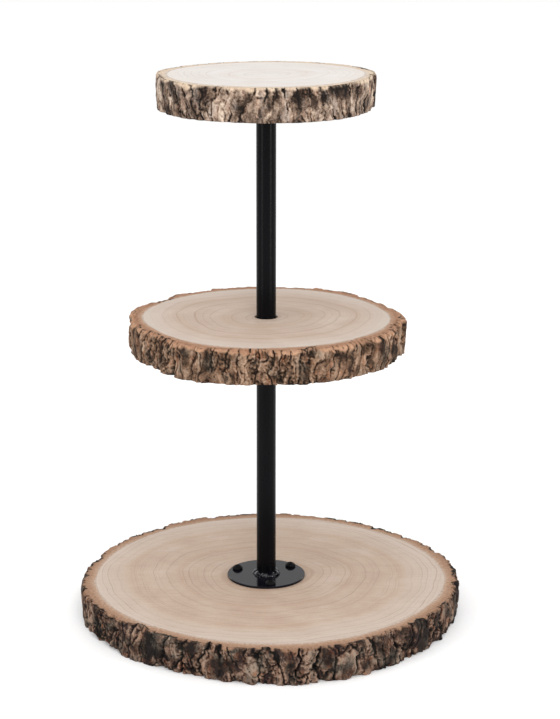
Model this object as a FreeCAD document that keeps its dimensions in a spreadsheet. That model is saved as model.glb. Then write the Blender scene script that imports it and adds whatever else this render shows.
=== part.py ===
"""Three-tier cake stand: three slices cut across a log, with the bark left on, on a black steel post.

Every slice is a disc of pale wood inside a ring of bark. The post is two equal tubes. The lower tube is
welded to a round flange, which three wood screws hold to the bottom slice, and carries a second flange
near its top, which three screws from below hold to the middle slice. A threaded stud stands in a plug in
the lower tube. The upper tube passes down through a clearance hole in the middle slice and screws onto
the stud, down to a lock washer. Its top end is welded to a third flange, screwed to the top slice from
below.

Frame: millimetres, +Z up, origin on the post's axis at the underside of the bottom slice.
"""

import FreeCAD, Part

import math
import os
import re

import Sketcher

# ---------------------------------------------------------------------------------------------------------
# Driving dimensions. The slices' places along Z follow from them, in the expressions further down.
# ---------------------------------------------------------------------------------------------------------
DIMENSIONS = {
    # slices: mean radius over the bark, thickness, and width of the bark ring
    "bottom_radius": 158.4,
    "bottom_thickness": 29.5,
    "bottom_bark": 13.0,
    "middle_radius": 113.8,
    "middle_thickness": 27.5,
    "middle_bark": 14.0,
    "top_radius": 88.0,
    "top_thickness": 26.5,
    "top_bark": 10.0,
    # post: two tubes of one size, and the hole that lets the upper one through the middle slice
    "tube_diameter": 16.0,
    "tube_wall": 1.5,
    "tube_length": 194.0,
    "post_hole_diameter": 19.0,
    # flanges, their screw circle, and the fillet weld that joins each to its tube
    "flange_diameter": 65.0,
    "flange_thickness": 2.0,
    "flange_chamfer": 0.3,
    "screw_circle_diameter": 52.0,
    "screw_clearance_diameter": 4.6,
    "first_screw_angle": 38.0,
    "weld_leg": 3.4,
    # wood screws: 4.2 x 19 mm, pan head with a cross recess
    "screw_head_diameter": 8.6,
    "screw_head_height": 3.7,
    "screw_head_rim": 1.2,
    "screw_thread_diameter": 4.2,
    "screw_core_diameter": 3.0,
    "screw_length": 19.0,
    "screw_thread_pitch": 1.8,
    "screw_point_length": 4.0,
    "recess_width": 1.1,
    "recess_span": 4.4,
    "recess_depth": 1.7,
    # joint of the two tubes: threaded plug in each, stud, and split lock washer
    "plug_length": 16.0,
    "stud_diameter": 8.0,
    "stud_pitch": 1.25,
    "stud_groove_depth": 0.65,
    "stud_end_chamfer": 1.0,
    "stud_engagement": 12.0,
    "stud_running_clearance": 0.05,
    "washer_diameter": 14.8,
    "washer_bore": 8.6,
    "washer_thickness": 2.0,
    "washer_split": 1.2,
}
SCREWS_PER_FLANGE = 3

# Lobes of each slice's outline: (waves round the rim, height in mm, direction of one crest in degrees).
# One wave is the log's offset from the post, two make it oval, and more are the swellings of the trunk.
LOBES = {
    "bottom": [(1, 3.3, -19), (2, 1.4, -78), (4, 1.8, 10), (5, 0.9, -7)],
    "middle": [(2, 1.6, -83), (4, 1.7, -15), (6, 0.9, -3)],
    "top": [(2, 0.9, 53), (3, 0.9, 45), (5, 0.8, 16)],
}
OUTLINE_POINTS = 36  # six for each wave of the finest lobe
# The wood is rounder than the bark over it, so its outline keeps this share of each lobe's height.
WOOD_LOBE_SHARE = 0.6

# Places along Z, written once as expressions of the sheet's cells.
BASE_FLANGE_TOP = "bottom_thickness + flange_thickness"
MIDDLE_UNDERSIDE = f"{BASE_FLANGE_TOP} + tube_length"
UPPER_TUBE_FOOT = f"{MIDDLE_UNDERSIDE} + washer_thickness"
TOP_FLANGE_UNDERSIDE = f"{UPPER_TUBE_FOOT} + tube_length"
TOP_UNDERSIDE = f"{TOP_FLANGE_UNDERSIDE} + flange_thickness"

doc = FreeCAD.newDocument("tiered_cake_stand")
Z_AXIS = FreeCAD.Vector(0, 0, 1)
X_AXIS = FreeCAD.Vector(1, 0, 0)


# ---------------------------------------------------------------------------------------------------------
# Spreadsheet
# ---------------------------------------------------------------------------------------------------------
def fill_sheet():
    """Write each driving dimension in a row of its own: name, value, and the value's alias."""
    cells = doc.addObject("Spreadsheet::Sheet", "Dimensions")
    for row, (name, number) in enumerate(DIMENSIONS.items(), start=1):
        cells.set(f"A{row}", name)
        cells.set(f"B{row}", str(number))
        cells.setAlias(f"B{row}", name)
    doc.recompute()
    return cells


sheet = fill_sheet()


def bound(expression):
    """The expression with every dimension's name made a reference to its cell."""
    def as_cell(match):
        word = match.group(0)
        return f"Dimensions.{word}" if word in DIMENSIONS else word

    return re.sub(r"[a-z_]+", as_cell, expression)


def value(expression):
    """The number that an expression of the dimensions has now."""
    number = sheet.evalExpression(bound(expression))
    return float(getattr(number, "Value", number))


# ---------------------------------------------------------------------------------------------------------
# Bodies, sketches and features
# ---------------------------------------------------------------------------------------------------------
def new_body(label, height="0", turned=0.0, upside_down=False):
    """A PartDesign body. Its Label names its file, and its Placement carries it up to `height`."""
    body = doc.addObject("PartDesign::Body", label)
    body.Label = label
    rotation = FreeCAD.Rotation(Z_AXIS, turned)
    if upside_down:
        rotation = rotation * FreeCAD.Rotation(X_AXIS, 180)
    body.Placement = FreeCAD.Placement(FreeCAD.Vector(0, 0, value(height)), rotation)
    body.setExpression("Placement.Base.z", bound(height))
    return body


def origin_feature(body, role):
    """One of the body's own origin planes or axes, such as XY_Plane or Z_Axis."""
    return next(item for item in body.Origin.OriginFeatures if item.Role == role)


def new_sketch(body, name, plane="XY_Plane", offset=("0", "0", "0")):
    """An empty sketch on one of the body's own planes, moved in the sketch's own directions by `offset`."""
    sketch = body.newObject("Sketcher::SketchObject", name)
    sketch.AttachmentSupport = [(origin_feature(body, plane), "")]
    sketch.MapMode = "FlatFace"
    for axis, expression in zip("xyz", offset):
        if expression != "0":
            sketch.setExpression(f"AttachmentOffset.Base.{axis}", bound(expression))
    return sketch


def drive(sketch, constraint, expression):
    """Add a constraint and bind its value to the sheet."""
    index = sketch.addConstraint(constraint)
    sketch.setExpression(f"Constraints[{index}]", bound(expression))


def place_point(sketch, geometry, end, x, y):
    """Hold one point of a sketch at the place that two expressions give."""
    for kind, axis, expression in (("DistanceX", -2, x), ("DistanceY", -1, y)):
        if abs(value(expression)) < 1e-9:
            sketch.addConstraint(Sketcher.Constraint("PointOnObject", geometry, end, axis))
        else:
            constraint = Sketcher.Constraint(kind, -1, 1, geometry, end, value(expression))
            drive(sketch, constraint, expression)


def add_circle(sketch, diameter, x="0", y="0"):
    """A circle of a bound diameter, with its centre at a bound place."""
    centre = FreeCAD.Vector(value(x), value(y), 0)
    circle = sketch.addGeometry(Part.Circle(centre, Z_AXIS, value(diameter) / 2), False)
    place_point(sketch, circle, 3, x, y)
    drive(sketch, Sketcher.Constraint("Diameter", circle, value(diameter)), diameter)
    return circle


def add_polygon(sketch, corners):
    """A closed outline of straight lines whose corners are pairs of expressions."""
    points = [FreeCAD.Vector(value(x), value(y), 0) for x, y in corners]
    lines = [
        sketch.addGeometry(Part.LineSegment(start, end), False)
        for start, end in zip(points, points[1:] + points[:1])
    ]
    for line, following in zip(lines, lines[1:] + lines[:1]):
        sketch.addConstraint(Sketcher.Constraint("Coincident", line, 2, following, 1))
    for line, (x, y) in zip(lines, corners):
        place_point(sketch, line, 1, x, y)


def pad(body, sketch, length, name="Pad"):
    """Extrude a sketch along its own normal by a bound length."""
    feature = body.newObject("PartDesign::Pad", name)
    feature.Profile = sketch
    feature.setExpression("Length", bound(length))
    sketch.Visibility = False
    return feature


def pocket(body, sketch, depth=None, name="Pocket", upwards=False):
    """Cut a sketch into the body: right through, or to a bound depth."""
    feature = body.newObject("PartDesign::Pocket", name)
    feature.Profile = sketch
    feature.Reversed = upwards
    if depth is None:
        feature.Type = 1
        feature.Midplane = True
    else:
        feature.setExpression("Length", bound(depth))
    return feature


def revolve(body, sketch, name="Revolution", kind="PartDesign::Revolution"):
    """Turn a sketch a full turn about its own vertical axis."""
    feature = body.newObject(kind, name)
    feature.Profile = sketch
    feature.ReferenceAxis = (sketch, ["V_Axis"])
    feature.Angle = 360
    return feature


def polar_pattern(body, features, count):
    """Repeat features evenly round the body's Z axis."""
    pattern = body.newObject("PartDesign::PolarPattern", "PolarPattern")
    pattern.Originals = features
    pattern.Axis = (origin_feature(body, "Z_Axis"), [""])
    pattern.Angle = 360
    pattern.Occurrences = count
    body.Tip = pattern
    return pattern


def linear_pattern(body, features, pitch, count):
    """Repeat features along the body's Z axis at a bound pitch."""
    pattern = body.newObject("PartDesign::LinearPattern", "LinearPattern")
    pattern.Originals = features
    pattern.Direction = (origin_feature(body, "Z_Axis"), [""])
    pattern.Occurrences = count
    pattern.setExpression("Length", bound(f"{pitch} * {count - 1}"))
    body.Tip = pattern
    return pattern


# ---------------------------------------------------------------------------------------------------------
# Slices of the log
# ---------------------------------------------------------------------------------------------------------
def add_outline(sketch, tier, radius, lobe_share=1.0):
    """A closed smooth curve: a circle of the slice's radius, swelled by its lobes."""
    points = []
    for step in range(OUTLINE_POINTS):
        angle = 2 * math.pi * step / OUTLINE_POINTS
        swell = sum(
            height * math.cos(waves * (angle - math.radians(crest))) * (1 if waves == 1 else lobe_share)
            for waves, height, crest in LOBES[tier]
        )
        points.append(FreeCAD.Vector(math.cos(angle), math.sin(angle), 0) * (radius + swell))
    curve = Part.BSplineCurve()
    curve.interpolate(points, PeriodicFlag=True)
    spline = sketch.addGeometry(curve, False)
    sketch.addConstraint(Sketcher.Constraint("Block", spline))


def wood_radius(tier):
    return value(f"{tier}_radius - {tier}_bark")


def make_wood(tier, underside, through_hole=False, screwed_from_above=False):
    """The slice's pale disc, with pilot holes for the flange's screws and the hole for the post."""
    body = new_body(f"{tier}_slice_wood", underside)
    outline = new_sketch(body, "WoodOutline")
    add_outline(outline, tier, wood_radius(tier), WOOD_LOBE_SHARE)
    pad(body, outline, f"{tier}_thickness", "Disc")
    if through_hole:
        hole = new_sketch(body, "PostHoleOutline")
        add_circle(hole, "post_hole_diameter")
        pocket(body, hole, name="PostHole", upwards=True)
    face = f"{tier}_thickness" if screwed_from_above else "0"
    pilots = new_sketch(body, "PilotOutline", offset=("0", "0", face))
    for number in range(SCREWS_PER_FLANGE):
        direction = f"(first_screw_angle + {360 * number // SCREWS_PER_FLANGE})"
        add_circle(
            pilots,
            "screw_core_diameter",
            f"screw_circle_diameter / 2 * cos({direction} * 1 deg)",
            f"screw_circle_diameter / 2 * sin({direction} * 1 deg)",
        )
    pocket(body, pilots, "screw_length - flange_thickness", "PilotHoles", upwards=not screwed_from_above)


def make_bark(tier, underside):
    """The ring of bark round the wood."""
    body = new_body(f"{tier}_slice_bark", underside)
    ring = new_sketch(body, "BarkOutline")
    add_outline(ring, tier, value(f"{tier}_radius"))
    add_outline(ring, tier, wood_radius(tier), WOOD_LOBE_SHARE)
    pad(body, ring, f"{tier}_thickness", "Ring")


# ---------------------------------------------------------------------------------------------------------
# Flanges, their welds and their screws
# ---------------------------------------------------------------------------------------------------------
def make_flange(label, underside, tube_passes=False):
    """A round plate with a ring of screw holes. A plate that the tube passes has a hole for it."""
    body = new_body(label, underside, turned=DIMENSIONS["first_screw_angle"])
    disc = new_sketch(body, "DiscOutline")
    add_circle(disc, "flange_diameter")
    plate = pad(body, disc, "flange_thickness", "Disc")
    doc.recompute()
    rims = [
        f"Edge{number}"
        for number, edge in enumerate(plate.Shape.Edges, start=1)
        if isinstance(edge.Curve, Part.Circle)
    ]
    chamfer = body.newObject("PartDesign::Chamfer", "RimChamfer")
    chamfer.Base = (plate, rims)
    chamfer.setExpression("Size", bound("flange_chamfer"))
    if tube_passes:
        passage = new_sketch(body, "TubeHoleOutline")
        add_circle(passage, "tube_diameter")
        pocket(body, passage, name="TubeHole", upwards=True)
    hole = new_sketch(body, "ScrewHoleOutline")
    add_circle(hole, "screw_clearance_diameter", "screw_circle_diameter / 2")
    polar_pattern(body, [pocket(body, hole, name="ScrewHole", upwards=True)], SCREWS_PER_FLANGE)


def make_weld(label, corner, upside_down=False):
    """A quarter-round fillet weld in the corner between a tube and its flange."""
    body = new_body(label, corner, upside_down=upside_down)
    bead = new_sketch(body, "BeadSection", "XZ_Plane")
    radius = value("tube_diameter / 2")
    leg = value("weld_leg")
    heel = FreeCAD.Vector(radius, 0, 0)
    toe = FreeCAD.Vector(radius + leg, 0, 0)
    crown = FreeCAD.Vector(radius, leg, 0)
    along_flange = bead.addGeometry(Part.LineSegment(heel, toe), False)
    face = bead.addGeometry(Part.ArcOfCircle(Part.Circle(heel, Z_AXIS, leg), 0, math.pi / 2), False)
    along_tube = bead.addGeometry(Part.LineSegment(crown, heel), False)
    bead.addConstraint(Sketcher.Constraint("Coincident", along_flange, 2, face, 1))
    bead.addConstraint(Sketcher.Constraint("Coincident", face, 2, along_tube, 1))
    bead.addConstraint(Sketcher.Constraint("Coincident", along_tube, 2, along_flange, 1))
    bead.addConstraint(Sketcher.Constraint("Coincident", face, 3, along_flange, 1))
    bead.addConstraint(Sketcher.Constraint("Horizontal", along_flange))
    bead.addConstraint(Sketcher.Constraint("Vertical", along_tube))
    place_point(bead, along_flange, 1, "tube_diameter / 2", "0")
    drive(bead, Sketcher.Constraint("Radius", face, leg), "weld_leg")
    revolve(body, bead, "Bead")


def shank_corners():
    """Half of a wood screw's section, from its point up its threads to the face under its head."""
    core = "screw_core_diameter / 2"
    crest = "screw_thread_diameter / 2"
    threaded = value("screw_length - screw_point_length - 1")
    turns = int(threaded / value("screw_thread_pitch"))
    corners = [("0", "0 - screw_length"), (core, "screw_point_length - screw_length")]
    for turn in range(turns):
        foot = f"screw_point_length - screw_length + screw_thread_pitch * {turn}"
        corners += [
            (crest, f"{foot} + screw_thread_pitch * 0.45"),
            (crest, f"{foot} + screw_thread_pitch * 0.55"),
            (core, f"{foot} + screw_thread_pitch"),
        ]
    corners += [(core, "0"), ("0", "0")]
    return corners


def add_head_section(sketch):
    """Half of a pan head's section: a flat seat, a short upright rim, and a crown of one arc."""
    radius = value("screw_head_diameter / 2")
    rim = value("screw_head_rim")
    height = value("screw_head_height")
    crown_radius = (radius**2 + (height - rim) ** 2) / (2 * (height - rim))
    centre = FreeCAD.Vector(0, height - crown_radius, 0)
    start = math.atan2(rim - centre.y, radius)
    middle = FreeCAD.Vector(0, 0, 0)
    seat_edge = FreeCAD.Vector(radius, 0, 0)
    rim_top = FreeCAD.Vector(radius, rim, 0)
    top = FreeCAD.Vector(0, height, 0)
    seat = sketch.addGeometry(Part.LineSegment(middle, seat_edge), False)
    upright = sketch.addGeometry(Part.LineSegment(seat_edge, rim_top), False)
    arc = Part.ArcOfCircle(Part.Circle(centre, Z_AXIS, crown_radius), start, math.pi / 2)
    crown = sketch.addGeometry(arc, False)
    axis = sketch.addGeometry(Part.LineSegment(top, middle), False)
    for first, second in ((seat, upright), (upright, crown), (crown, axis), (axis, seat)):
        sketch.addConstraint(Sketcher.Constraint("Coincident", first, 2, second, 1))
    sketch.addConstraint(Sketcher.Constraint("PointOnObject", crown, 3, -2))
    place_point(sketch, seat, 1, "0", "0")
    place_point(sketch, upright, 1, "screw_head_diameter / 2", "0")
    place_point(sketch, crown, 1, "screw_head_diameter / 2", "screw_head_rim")
    place_point(sketch, axis, 1, "0", "screw_head_height")


def make_screws(label, seat, upside_down=False):
    """The flange's wood screws, as one group of separate solids. `seat` is the face under their heads."""
    angle = DIMENSIONS["first_screw_angle"]
    body = new_body(label, seat, turned=angle, upside_down=upside_down)
    radius = "screw_circle_diameter / 2"
    shank_section = new_sketch(body, "ShankSection", "XZ_Plane", offset=(radius, "0", "0"))
    add_polygon(shank_section, shank_corners())
    shank = revolve(body, shank_section, "Shank")
    head_section = new_sketch(body, "HeadSection", "XZ_Plane", offset=(radius, "0", "0"))
    add_head_section(head_section)
    head = revolve(body, head_section, "Head")
    recess = new_sketch(body, "RecessOutline", offset=(radius, "0", "screw_head_height"))
    arm = "recess_width / 2"
    reach = "recess_span / 2"
    quarter = [(reach, f"0 - {arm}"), (reach, arm), (arm, arm)]
    cross = []
    for _ in range(4):
        cross += quarter
        quarter = [(f"0 - ({y})", x) for x, y in quarter]
    add_polygon(recess, cross)
    cut = pocket(body, recess, "recess_depth", "CrossRecess")
    polar_pattern(body, [shank, head, cut], SCREWS_PER_FLANGE)


# ---------------------------------------------------------------------------------------------------------
# Post: tubes, plugs, stud and washer
# ---------------------------------------------------------------------------------------------------------
def make_ring(label, foot, outside, inside, length):
    """A plain ring or tube between two bound diameters."""
    body = new_body(label, foot)
    section = new_sketch(body, "RingSection")
    add_circle(section, outside)
    add_circle(section, inside)
    pad(body, section, length, "Ring")
    return body


def make_stud():
    """The threaded rod between the two tubes. Its thread is a row of V grooves, one for each pitch."""
    length = "plug_length + washer_thickness + stud_engagement"
    body = new_body("joint_stud", f"{MIDDLE_UNDERSIDE} - plug_length")
    section = new_sketch(body, "StudSection", "XZ_Plane")
    radius = "stud_diameter / 2"
    add_polygon(
        section,
        [
            ("0", "0"),
            (f"{radius} - stud_end_chamfer", "0"),
            (radius, "stud_end_chamfer"),
            (radius, f"{length} - stud_end_chamfer"),
            (f"{radius} - stud_end_chamfer", length),
            ("0", length),
        ],
    )
    revolve(body, section, "Rod")
    groove = new_sketch(body, "GrooveSection", "XZ_Plane")
    start = "stud_end_chamfer + stud_pitch * 0.25"
    add_polygon(
        groove,
        [
            (radius, start),
            (f"{radius} - stud_groove_depth", f"{start} + stud_pitch * 0.4"),
            (radius, f"{start} + stud_pitch * 0.8"),
        ],
    )
    first = revolve(body, groove, "FirstGroove", "PartDesign::Groove")
    turns = int(value(f"{length} - 2 * stud_end_chamfer - stud_pitch * 0.25") / value("stud_pitch"))
    linear_pattern(body, [first], "stud_pitch", turns)


def make_lock_washer():
    """A split spring washer, pressed flat between the ends of the two tubes."""
    body = make_ring(
        "lock_washer", MIDDLE_UNDERSIDE, "washer_diameter", "washer_bore", "washer_thickness"
    )
    split = new_sketch(body, "SplitOutline")
    half = "washer_split / 2"
    outer = "washer_diameter / 2 + 1"
    inner = "washer_bore / 2 - 1"
    add_polygon(
        split,
        [(inner, f"0 - {half}"), (outer, f"0 - {half}"), (outer, half), (inner, half)],
    )
    pocket(body, split, name="Split", upwards=True)


# ---------------------------------------------------------------------------------------------------------
# The stand, from the table up
# ---------------------------------------------------------------------------------------------------------
TUBE_BORE = "tube_diameter - 2 * tube_wall"
RUNNING_BORE = "stud_diameter + 2 * stud_running_clearance"

make_wood("bottom", "0", screwed_from_above=True)
make_bark("bottom", "0")
make_flange("base_flange", "bottom_thickness")
make_screws("base_flange_screws", BASE_FLANGE_TOP)
make_weld("base_flange_weld", BASE_FLANGE_TOP)
make_ring("lower_post_tube", BASE_FLANGE_TOP, "tube_diameter", TUBE_BORE, "tube_length")
make_ring(
    "lower_post_plug", f"{MIDDLE_UNDERSIDE} - plug_length", TUBE_BORE, "stud_diameter", "plug_length"
)
make_stud()

MIDDLE_FLANGE_UNDERSIDE = f"{MIDDLE_UNDERSIDE} - flange_thickness"
make_flange("middle_flange", MIDDLE_FLANGE_UNDERSIDE, tube_passes=True)
make_weld("middle_flange_weld", MIDDLE_FLANGE_UNDERSIDE, upside_down=True)
make_screws("middle_flange_screws", MIDDLE_FLANGE_UNDERSIDE, upside_down=True)
make_wood("middle", MIDDLE_UNDERSIDE, through_hole=True)
make_bark("middle", MIDDLE_UNDERSIDE)

make_lock_washer()
make_ring("upper_post_tube", UPPER_TUBE_FOOT, "tube_diameter", TUBE_BORE, "tube_length")
make_ring("upper_post_plug", UPPER_TUBE_FOOT, TUBE_BORE, RUNNING_BORE, "plug_length")
make_flange("top_flange", TOP_FLANGE_UNDERSIDE)
make_weld("top_flange_weld", TOP_FLANGE_UNDERSIDE, upside_down=True)
make_screws("top_flange_screws", TOP_FLANGE_UNDERSIDE, upside_down=True)
make_wood("top", TOP_UNDERSIDE)
make_bark("top", TOP_UNDERSIDE)


# ---------------------------------------------------------------------------------------------------------
# Checks and export
# ---------------------------------------------------------------------------------------------------------
def export_bodies():
    """Stop on any failed object or bad shape, then write one STEP file for each body."""
    doc.recompute()
    failed = [item.Name for item in doc.Objects if {"Invalid", "Error"} & set(item.State)]
    if failed:
        raise RuntimeError(f"these objects failed to build: {failed}")
    bodies = [item for item in doc.Objects if item.TypeId == "PartDesign::Body"]
    for body in bodies:
        if body.Shape.isNull() or not body.Shape.isValid() or not body.Shape.Solids:
            raise RuntimeError(f"{body.Label} has no valid shape")
    os.makedirs("parts", exist_ok=True)
    for body in bodies:
        body.Shape.exportStep(f"parts/{body.Label}.step")
        box = body.Shape.BoundBox
        print(
            f"{body.Label:22s} solids {len(body.Shape.Solids)}  volume {body.Shape.Volume:11.1f}"
            f"  x {box.XMin:8.2f} {box.XMax:8.2f}  y {box.YMin:8.2f} {box.YMax:8.2f}"
            f"  z {box.ZMin:7.2f} {box.ZMax:7.2f}"
        )


export_bodies()
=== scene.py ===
"""A three-tier cake stand of log slices on a black steel post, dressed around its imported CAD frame."""

import math

import bmesh
import bpy
import numpy as np
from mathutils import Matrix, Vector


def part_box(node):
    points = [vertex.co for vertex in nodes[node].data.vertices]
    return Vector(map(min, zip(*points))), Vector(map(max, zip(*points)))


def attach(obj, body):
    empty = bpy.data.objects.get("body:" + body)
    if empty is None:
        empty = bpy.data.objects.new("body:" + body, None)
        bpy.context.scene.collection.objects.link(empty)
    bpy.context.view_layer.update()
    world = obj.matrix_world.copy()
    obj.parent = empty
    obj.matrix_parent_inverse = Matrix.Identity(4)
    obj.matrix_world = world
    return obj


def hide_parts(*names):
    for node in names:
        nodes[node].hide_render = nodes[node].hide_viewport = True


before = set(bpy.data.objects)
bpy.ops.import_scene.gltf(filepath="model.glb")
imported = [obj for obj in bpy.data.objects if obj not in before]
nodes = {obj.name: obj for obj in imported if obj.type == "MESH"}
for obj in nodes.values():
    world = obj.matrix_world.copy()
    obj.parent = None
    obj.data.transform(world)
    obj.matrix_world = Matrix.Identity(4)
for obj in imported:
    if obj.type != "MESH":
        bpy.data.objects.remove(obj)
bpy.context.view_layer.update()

# ----------------------------------------------------------------------------------------------------------
# Bark. Each slice keeps the bark that grew on the log: a cork layer split by upright fissures into plates,
# over a band of tan inner bark that the saw lays bare on both faces. It is a ring grown onto the wood, and
# is coarsest and darkest at the foot of the trunk, where the bottom slice was cut; that bark's darkness is
# partly painted shade, low under the tiers above. The hollows and fissures are painted darker as shade.
# ----------------------------------------------------------------------------------------------------------
MM = 0.001
BARK_GRID = 0.7  # mm between points of the bark's surface
INNER_LAP = 0.3  # mm that the ring's inner wall reaches into the wood, so that no gap shows
TABLE_ROWS = 96  # rows in a table of random numbers, which repeats after that many lumps
SAWN_ROWS = 15  # rows of points across each sawn face, from the wood to the edge
LEAST_BARK = 2.5  # mm of bark left over the wood, however deep a fissure runs
FLUSH_SHARE = 32  # percent of the bark's face that stands right out to its outline
SOFT_CREST = 0.35  # mm over which that flush part is rounded off
MOST_WRAP = 5.0  # mm that the tan inner bark may run down over the edge

# plates, blocks and flakes are cells of the bark, as (width, height) in mm. cork is the width of the dark
# rim on the sawn faces and wrap how far the tan runs down over the edge, both in mm. rim_chips is the top
# edge's share of the foot's chips, which are chip_width mm wide. The others are how deep each relief is.
TIERS = {
    "bottom": dict(
        plates=(15.0, 34.0), blocks=(7.2, 9.0), flakes=(3.0, 3.8), fissure=4.8, crown=4.6, plate=1.6,
        block=2.6, flake=1.0, furrow=1.2, swelling=0.7, wane=2.6, notch=2.4, grit=0.5, chips=3.4,
        chip_width=10.0, rim_chips=0.5, eased=0.4, taper=1.2, cork=1.4, wrap=1.5, seed=11,
    ),
    "middle": dict(
        plates=(8.2, 28.0), blocks=(4.1, 7.5), flakes=(2.1, 3.2), fissure=2.6, crown=2.5, plate=1.4,
        block=1.5, flake=1.05, furrow=1.0, swelling=0.8, wane=2.8, notch=4.6, grit=0.55, chips=2.4,
        chip_width=8.0, rim_chips=1.1, eased=2.5, taper=1.4, cork=0.3, wrap=3.1, seed=23,
    ),
    "top": dict(
        plates=(9.5, 32.0), blocks=(4.8, 14.0), flakes=(2.4, 5.0), fissure=2.7, crown=1.1, plate=1.1,
        block=1.2, flake=0.8, furrow=0.8, swelling=0.4, wane=1.2, notch=1.0, grit=0.4, chips=1.1,
        chip_width=6.5, rim_chips=0.4, eased=1.0, taper=1.0, cork=0.6, wrap=2.2, seed=37,
    ),
}
BODY_OF_TIER = {"bottom": "base", "middle": "base", "top": "upper_post"}


def outline_of(node, angles):
    """The outer radius of a CAD disc or ring, in mm, in each of these directions from the post's axis."""
    points = np.array([v.co for v in nodes[node].data.vertices]) / MM
    radius = np.hypot(points[:, 0], points[:, 1])
    direction = np.arctan2(points[:, 1], points[:, 0])
    rim = radius > 0.5 * radius.max()
    if node.endswith("bark"):
        rim &= radius > outline_of(node.replace("bark", "wood"), direction) + 1.0
    order = np.argsort(direction[rim])
    return np.interp(angles, direction[rim][order], radius[rim][order], period=2 * math.pi)


def smooth_step(x):
    """0 below 0, 1 above 1, and an S curve between them."""
    x = np.clip(x, 0.0, 1.0)
    return x * x * (3.0 - 2.0 * x)


def lumps(u, v, around, size, seed):
    """Smooth random values from -1 to 1, in lumps of `size` mm, on a sheet that closes after `around` mm."""
    columns = max(4, round(around / size[0]))
    table = np.random.default_rng(seed).uniform(-1.0, 1.0, (columns, TABLE_ROWS))
    x, y = (u / around * columns) % columns, v / size[1]
    column, row = np.floor(x).astype(int), np.floor(y).astype(int)
    fx, fy = smooth_step(x - column), smooth_step(y - row)
    near, far = column % columns, (column + 1) % columns
    under, over = row % TABLE_ROWS, (row + 1) % TABLE_ROWS
    low = table[near, under] * (1 - fx) + table[far, under] * fx
    high = table[near, over] * (1 - fx) + table[far, over] * fx
    return low * (1 - fy) + high * fy


def cracked(u, v, around, size, seed):
    """A crazed sheet, with cells of `size` mm. For each point: how near it is to a crack (1 on it), how
    upright that crack runs, its cell's random number, and the height that the cell's own tilt and its
    domed shape each give."""
    columns = max(4, round(around / size[0]))
    chance = np.random.default_rng(seed)
    jitter = chance.uniform(-0.46, 0.46, (2, columns, TABLE_ROWS))
    numbers = chance.uniform(0.0, 1.0, (3, columns, TABLE_ROWS))
    x, y = (u / around * columns) % columns, v / size[1]
    nearest, second = np.full(x.shape, 9.0), np.full(x.shape, 9.0)
    here, there = np.zeros((5, *x.shape)), np.zeros((2, *x.shape))
    for step_x in (-1, 0, 1):
        for step_y in (-1, 0, 1):
            column, row = np.floor(x).astype(int) + step_x, np.floor(y).astype(int) + step_y
            cell = column % columns, row % TABLE_ROWS
            offset = np.stack([x - column - 0.5 - jitter[0][cell], y - row - 0.5 - jitter[1][cell]])
            gap = np.hypot(*offset)
            closer, next_one = gap < nearest, (gap >= nearest) & (gap < second)
            there = np.where(closer, here[:2], np.where(next_one, offset, there))
            second = np.where(closer, nearest, np.where(next_one, gap, second))
            found = np.stack([*offset, numbers[0][cell], numbers[1][cell], numbers[2][cell]])
            here = np.where(closer, found, here)
            nearest = np.minimum(nearest, gap)
    between = np.abs(here[:2] - there)
    upright = between[0] / (between[0] + between[1] + 1e-6)
    tilt = here[0] * (here[3] - 0.5) + here[1] * (here[4] - 0.5)
    return np.exp(-(second - nearest) / 0.1), upright, here[2], tilt, np.minimum(nearest, 1.0) ** 2


def spread(values, reach):
    """The mean of the values round each point of a sheet that closes on itself sideways."""
    padded = np.pad(values, ((reach, reach), (0, 0)), mode="edge")
    padded = np.pad(padded, ((0, 0), (reach, reach)), mode="wrap")
    total = np.pad(padded.cumsum(0).cumsum(1), ((1, 0), (1, 0)))
    side = 2 * reach + 1
    block = total[side:, side:] - total[:-side, side:] - total[side:, :-side] + total[:-side, :-side]
    return block / side**2


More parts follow.
